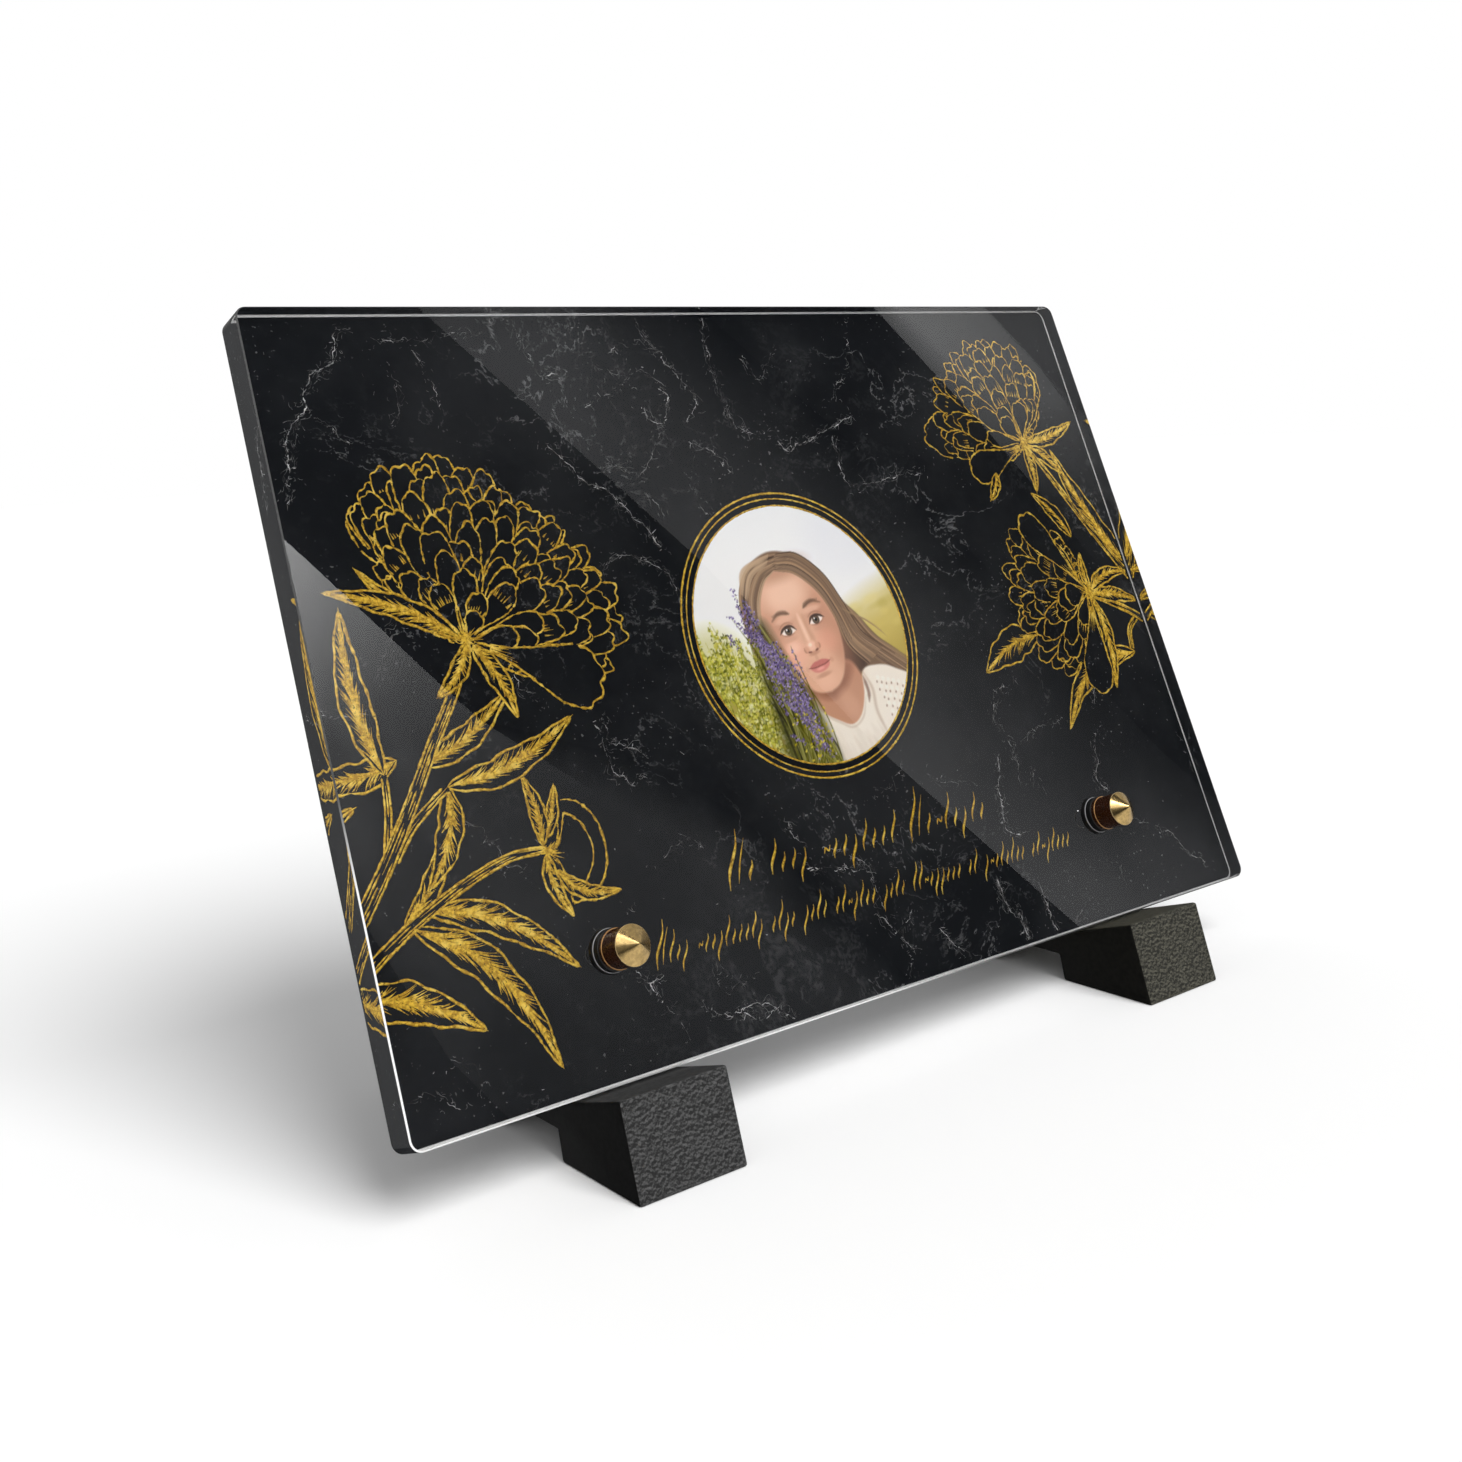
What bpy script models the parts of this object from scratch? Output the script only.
# Memorial plaque: a clear acrylic slab that leans back on two granite feet.
# A screw with a pointed brass cap holds the slab to each foot, over two washers and a thin ring.
# Metres, +Z up, +X to the right of someone who reads the plaque, which faces -Y.
# The origin is on the ground, in the middle of the footprint of the whole plaque.

import bmesh
import bpy
from math import cos, hypot, pi, radians, sin, tan
from mathutils import Matrix

# The slab
SLAB_WIDTH = 0.300
SLAB_HEIGHT = 0.200
SLAB_THICKNESS = 0.010
SLAB_LEAN = radians(20.0)
SLAB_CORNER_RADIUS = 0.003
SLAB_EDGE_ROUNDING = 0.0004
SEAT_HEIGHT = 0.0154           # the slab's lower back edge, above the ground

# The screws, and where they stand on the slab
SCREW_INSET = 0.060            # from the slab's side edge
SCREW_HEIGHT = 0.030           # from the slab's lower edge, up along the slab
CAP_DIAMETER = 0.0099
CAP_BARREL_LENGTH = 0.0066
CAP_CONE_HEIGHT = 0.0034
CAP_EDGE_ROUNDING = 0.00025
SHANK_DIAMETER = 0.0044
SHANK_IN_FOOT = 0.013

# The washers between slab and cap, from the slab outwards
BASE_WASHER_DIAMETER = 0.0110
BASE_WASHER_THICKNESS = 0.0010
RING_DIAMETER = 0.0106
RING_THICKNESS = 0.0004
TOP_WASHER_DIAMETER = 0.0096
TOP_WASHER_THICKNESS = 0.0023

# The feet, seen from the side
FOOT_WIDTH = 0.031
FOOT_LENGTH = 0.104
FOOT_NOSE = 0.014              # ledge in front of the slab
FOOT_FRONT_LEAN = radians(15.6)
LEDGE_FALL = radians(17.0)
REST_ABOVE_SCREW = 0.012       # back rest that stands above the screw
CROWN_DEPTH = 0.010
HEEL_HEIGHT = 0.014
TOE_LENGTH = 0.0315            # sole under the nose, in front of the arch
ARCH_LENGTH = 0.028
ARCH_HEIGHT = 0.0075
ARCH_DRAFT = 0.0015
FOOT_EDGE_ROUNDING = 0.0007

# Fits
CONTACT_GAP = 0.0003           # between pieces that touch
HOLE_CLEARANCE = 0.0003        # round a screw's shank
HOLE_END_CLEARANCE = 0.0006    # past the end of a screw's shank

# How finely round shapes are cut
ROUND_STEPS = 48
CORNER_STEPS = 6
EDGE_STEPS = 2


def clear_scene():
    for obj in list(bpy.data.objects):
        bpy.data.objects.remove(obj, do_unlink=True)


def material(name, colour, roughness, metallic=0.0):
    mat = bpy.data.materials.new(name)
    mat.use_nodes = True
    shader = mat.node_tree.nodes["Principled BSDF"]
    shader.inputs["Base Color"].default_value = (*colour, 1.0)
    shader.inputs["Roughness"].default_value = roughness
    shader.inputs["Metallic"].default_value = metallic
    mat.diffuse_color = (*colour, 1.0)
    return mat


def add_object(name, bm, mat=None, parent=None):
    """Turn a finished bmesh into an object, with its faces pointing out."""
    bmesh.ops.recalc_face_normals(bm, faces=bm.faces)
    mesh = bpy.data.meshes.new(name)
    bm.to_mesh(mesh)
    bm.free()
    obj = bpy.data.objects.new(name, mesh)
    bpy.context.collection.objects.link(obj)
    if mat:
        mesh.materials.append(mat)
    obj.parent = parent
    return obj


def shade_round(obj):
    obj.data.shade_smooth()
    obj.data.set_sharp_from_angle(angle=radians(35))


def round_edges(obj, width):
    mod = obj.modifiers.new("edges", "BEVEL")
    mod.width = width
    mod.segments = EDGE_STEPS
    mod.limit_method = "ANGLE"
    mod.angle_limit = radians(30)


def drill(obj, cutter):
    mod = obj.modifiers.new("hole", "BOOLEAN")
    mod.operation = "DIFFERENCE"
    mod.solver = "EXACT"
    mod.object = cutter


def extruded(outline, along, start, length):
    """Closed prism: outline points are 3-D, at zero on the axis named by along."""
    bm = bmesh.new()
    step = {"X": (1, 0, 0), "Y": (0, 1, 0)}[along]
    verts = [bm.verts.new([p + s * start for p, s in zip(point, step)]) for point in outline]
    face = bm.faces.new(verts)
    grown = bmesh.ops.extrude_face_region(bm, geom=[face])
    moved = [item for item in grown["geom"] if isinstance(item, bmesh.types.BMVert)]
    bmesh.ops.translate(bm, verts=moved, vec=[s * length for s in step])
    return bm


def turned(profile):
    """Solid of revolution about Y. The profile is (radius, height), height towards -Y."""
    bm = bmesh.new()
    verts = [bm.verts.new((r, -h, 0.0)) for r, h in profile]
    closed = profile[0][0] > 0
    pairs = list(zip(verts, verts[1:])) + ([(verts[-1], verts[0])] if closed else [])
    edges = [bm.edges.new(pair) for pair in pairs]
    bmesh.ops.spin(
        bm, geom=verts + edges, cent=(0, 0, 0), axis=(0, 1, 0), angle=2 * pi,
        steps=ROUND_STEPS, use_merge=True)
    bmesh.ops.remove_doubles(bm, verts=bm.verts, dist=1e-6)
    return bm


def place(bm, x, z):
    bmesh.ops.transform(bm, matrix=Matrix.Translation((x, 0, z)), verts=bm.verts)
    return bm


def line_crossing(p, d, q, e):
    """Where the line p + s d meets the line q + t e, in the plane."""
    s = ((q[0] - p[0]) * e[1] - (q[1] - p[1]) * e[0]) / (d[0] * e[1] - d[1] * e[0])
    return (p[0] + s * d[0], p[1] + s * d[1])


def slab_outline():
    """Upright rectangle with round corners, from its lower right corner round."""
    r = SLAB_CORNER_RADIUS
    half = SLAB_WIDTH / 2
    centres = [
        (half - r, r, -pi / 2), (half - r, SLAB_HEIGHT - r, 0.0),
        (r - half, SLAB_HEIGHT - r, pi / 2), (r - half, r, pi)]
    points = []
    for x, z, first in centres:
        for i in range(CORNER_STEPS + 1):
            turn = first + pi / 2 * i / CORNER_STEPS
            points.append((x + r * cos(turn), 0.0, z + r * sin(turn)))
    return points


def foot_profile():
    """Side view of a foot as (y, z), with y = 0 at the slab's lower front edge."""
    up = (sin(SLAB_LEAN), cos(SLAB_LEAN))
    back = (cos(SLAB_LEAN), -sin(SLAB_LEAN))
    ledge = (cos(LEDGE_FALL), -sin(LEDGE_FALL))
    heel_of_slab = (SLAB_THICKNESS * back[0], SEAT_HEIGHT)
    on_ledge = (heel_of_slab[0] - CONTACT_GAP * sin(LEDGE_FALL),
                heel_of_slab[1] - CONTACT_GAP * cos(LEDGE_FALL))
    on_rest = tuple(h + CONTACT_GAP * b for h, b in zip(heel_of_slab, back))
    notch = line_crossing(on_ledge, ledge, on_rest, up)
    nose_top = line_crossing(on_ledge, ledge, (-FOOT_NOSE, 0.0), (0.0, 1.0))
    toe = (nose_top[0] - nose_top[1] * tan(FOOT_FRONT_LEAN), 0.0)
    rest = SCREW_HEIGHT + REST_ABOVE_SCREW
    crown_front = (on_rest[0] + rest * up[0], on_rest[1] + rest * up[1])
    crown_back = tuple(c + CROWN_DEPTH * b for c, b in zip(crown_front, back))
    end = toe[0] + FOOT_LENGTH
    arch_front = toe[0] + TOE_LENGTH
    arch_back = arch_front + ARCH_LENGTH
    return [
        toe, nose_top, notch, crown_front, crown_back, (end, HEEL_HEIGHT), (end, 0.0),
        (arch_back, 0.0), (arch_back - ARCH_DRAFT, ARCH_HEIGHT),
        (arch_front + ARCH_DRAFT, ARCH_HEIGHT), (arch_front, 0.0)]


def washer_faces():
    """Heights above the slab's front: (bottom, top) of each washer, then the cap's bottom."""
    faces = []
    height = CONTACT_GAP
    for thickness in (BASE_WASHER_THICKNESS, RING_THICKNESS, TOP_WASHER_THICKNESS):
        faces.append((height, height + thickness))
        height += thickness + CONTACT_GAP
    return faces, height


def screw_profile():
    radius = CAP_DIAMETER / 2
    shank = SHANK_DIAMETER / 2
    bottom = washer_faces()[1]
    shoulder = bottom + CAP_BARREL_LENGTH
    edge = CAP_EDGE_ROUNDING
    slope = hypot(radius, CAP_CONE_HEIGHT)
    cone_edge = (radius - edge * radius / slope, shoulder + edge * CAP_CONE_HEIGHT / slope)
    return [
        (0.0, shoulder + CAP_CONE_HEIGHT), cone_edge, (radius, shoulder - edge),
        (radius, bottom + edge), (radius - edge, bottom), (shank, bottom),
        (shank, -shank_reach()), (0.0, -shank_reach())]


def shank_reach():
    """How far the shank goes behind the slab's front face."""
    return SLAB_THICKNESS + CONTACT_GAP + SHANK_IN_FOOT


def ring_profile(diameter, bottom, top):
    inner = SHANK_DIAMETER / 2 + HOLE_CLEARANCE
    return [(inner, bottom), (diameter / 2, bottom), (diameter / 2, top), (inner, top)]


def add_slab(plane, cutters):
    bm = extruded(slab_outline(), "Y", 0.0, SLAB_THICKNESS)
    slab = add_object("clear_slab", bm, material("printed_acrylic", (0.012, 0.013, 0.015), 0.06),
                      plane)
    round_edges(slab, SLAB_EDGE_ROUNDING)
    for cutter in cutters.values():
        drill(slab, cutter)


def add_foot(side, x, y_slab, cutter, mat):
    outline = [(0.0, y + y_slab, z) for y, z in foot_profile()]
    bm = extruded(outline, "X", x - FOOT_WIDTH / 2, FOOT_WIDTH)
    foot = add_object("foot_" + side, bm, mat)
    round_edges(foot, FOOT_EDGE_ROUNDING)
    drill(foot, cutter)


def add_screw(side, x, plane, mat):
    screw = add_object("screw_" + side, place(turned(screw_profile()), x, SCREW_HEIGHT), mat, plane)
    shade_round(screw)


def add_washers(side, x, plane, rubber, steel):
    kinds = [("base_washer_", BASE_WASHER_DIAMETER, rubber), ("steel_ring_", RING_DIAMETER, steel),
             ("top_washer_", TOP_WASHER_DIAMETER, rubber)]
    for (name, diameter, mat), (bottom, top) in zip(kinds, washer_faces()[0]):
        bm = place(turned(ring_profile(diameter, bottom, top)), x, SCREW_HEIGHT)
        shade_round(add_object(name + side, bm, mat, plane))


def add_screw_cutter(side, x, plane):
    """Drill for one screw: right through the slab and blind into the foot."""
    radius = SHANK_DIAMETER / 2 + HOLE_CLEARANCE
    out = SLAB_THICKNESS
    depth = shank_reach() + HOLE_END_CLEARANCE
    bm = place(turned([(0.0, out), (radius, out), (radius, -depth), (0.0, -depth)]), x, SCREW_HEIGHT)
    cutter = add_object("drill_" + side, bm, None, plane)
    cutter.hide_render = True
    cutter.display_type = "WIRE"
    return cutter


def add_slab_plane(y_slab):
    """Empty at the slab's lower front edge, leaning back with the slab."""
    plane = bpy.data.objects.new("slab_plane", None)
    bpy.context.collection.objects.link(plane)
    plane.location = (0.0, y_slab, SEAT_HEIGHT + SLAB_THICKNESS * sin(SLAB_LEAN))
    plane.rotation_euler = (-SLAB_LEAN, 0.0, 0.0)
    return plane


def slab_front_y():
    """Y of the slab's lower front edge that centres the whole footprint on the origin."""
    ys = [y for y, z in foot_profile()]
    slab_back = SLAB_HEIGHT * sin(SLAB_LEAN) + SLAB_THICKNESS * cos(SLAB_LEAN)
    return -(min(ys) + max(max(ys), slab_back)) / 2


def main():
    clear_scene()
    granite = material("black_granite", (0.030, 0.030, 0.032), 0.65)
    brass = material("turned_brass", (0.55, 0.40, 0.17), 0.30, 1.0)
    rubber = material("black_rubber", (0.010, 0.010, 0.010), 0.55)
    steel = material("bright_steel", (0.60, 0.60, 0.58), 0.25, 1.0)
    y_slab = slab_front_y()
    plane = add_slab_plane(y_slab)
    screw_x = SLAB_WIDTH / 2 - SCREW_INSET
    places = {"left": -screw_x, "right": screw_x}
    cutters = {side: add_screw_cutter(side, x, plane) for side, x in places.items()}
    add_slab(plane, cutters)
    for side, x in places.items():
        add_foot(side, x, y_slab, cutters[side], granite)
        add_screw(side, x, plane, brass)
        add_washers(side, x, plane, rubber, steel)
    bpy.context.view_layer.update()


main()
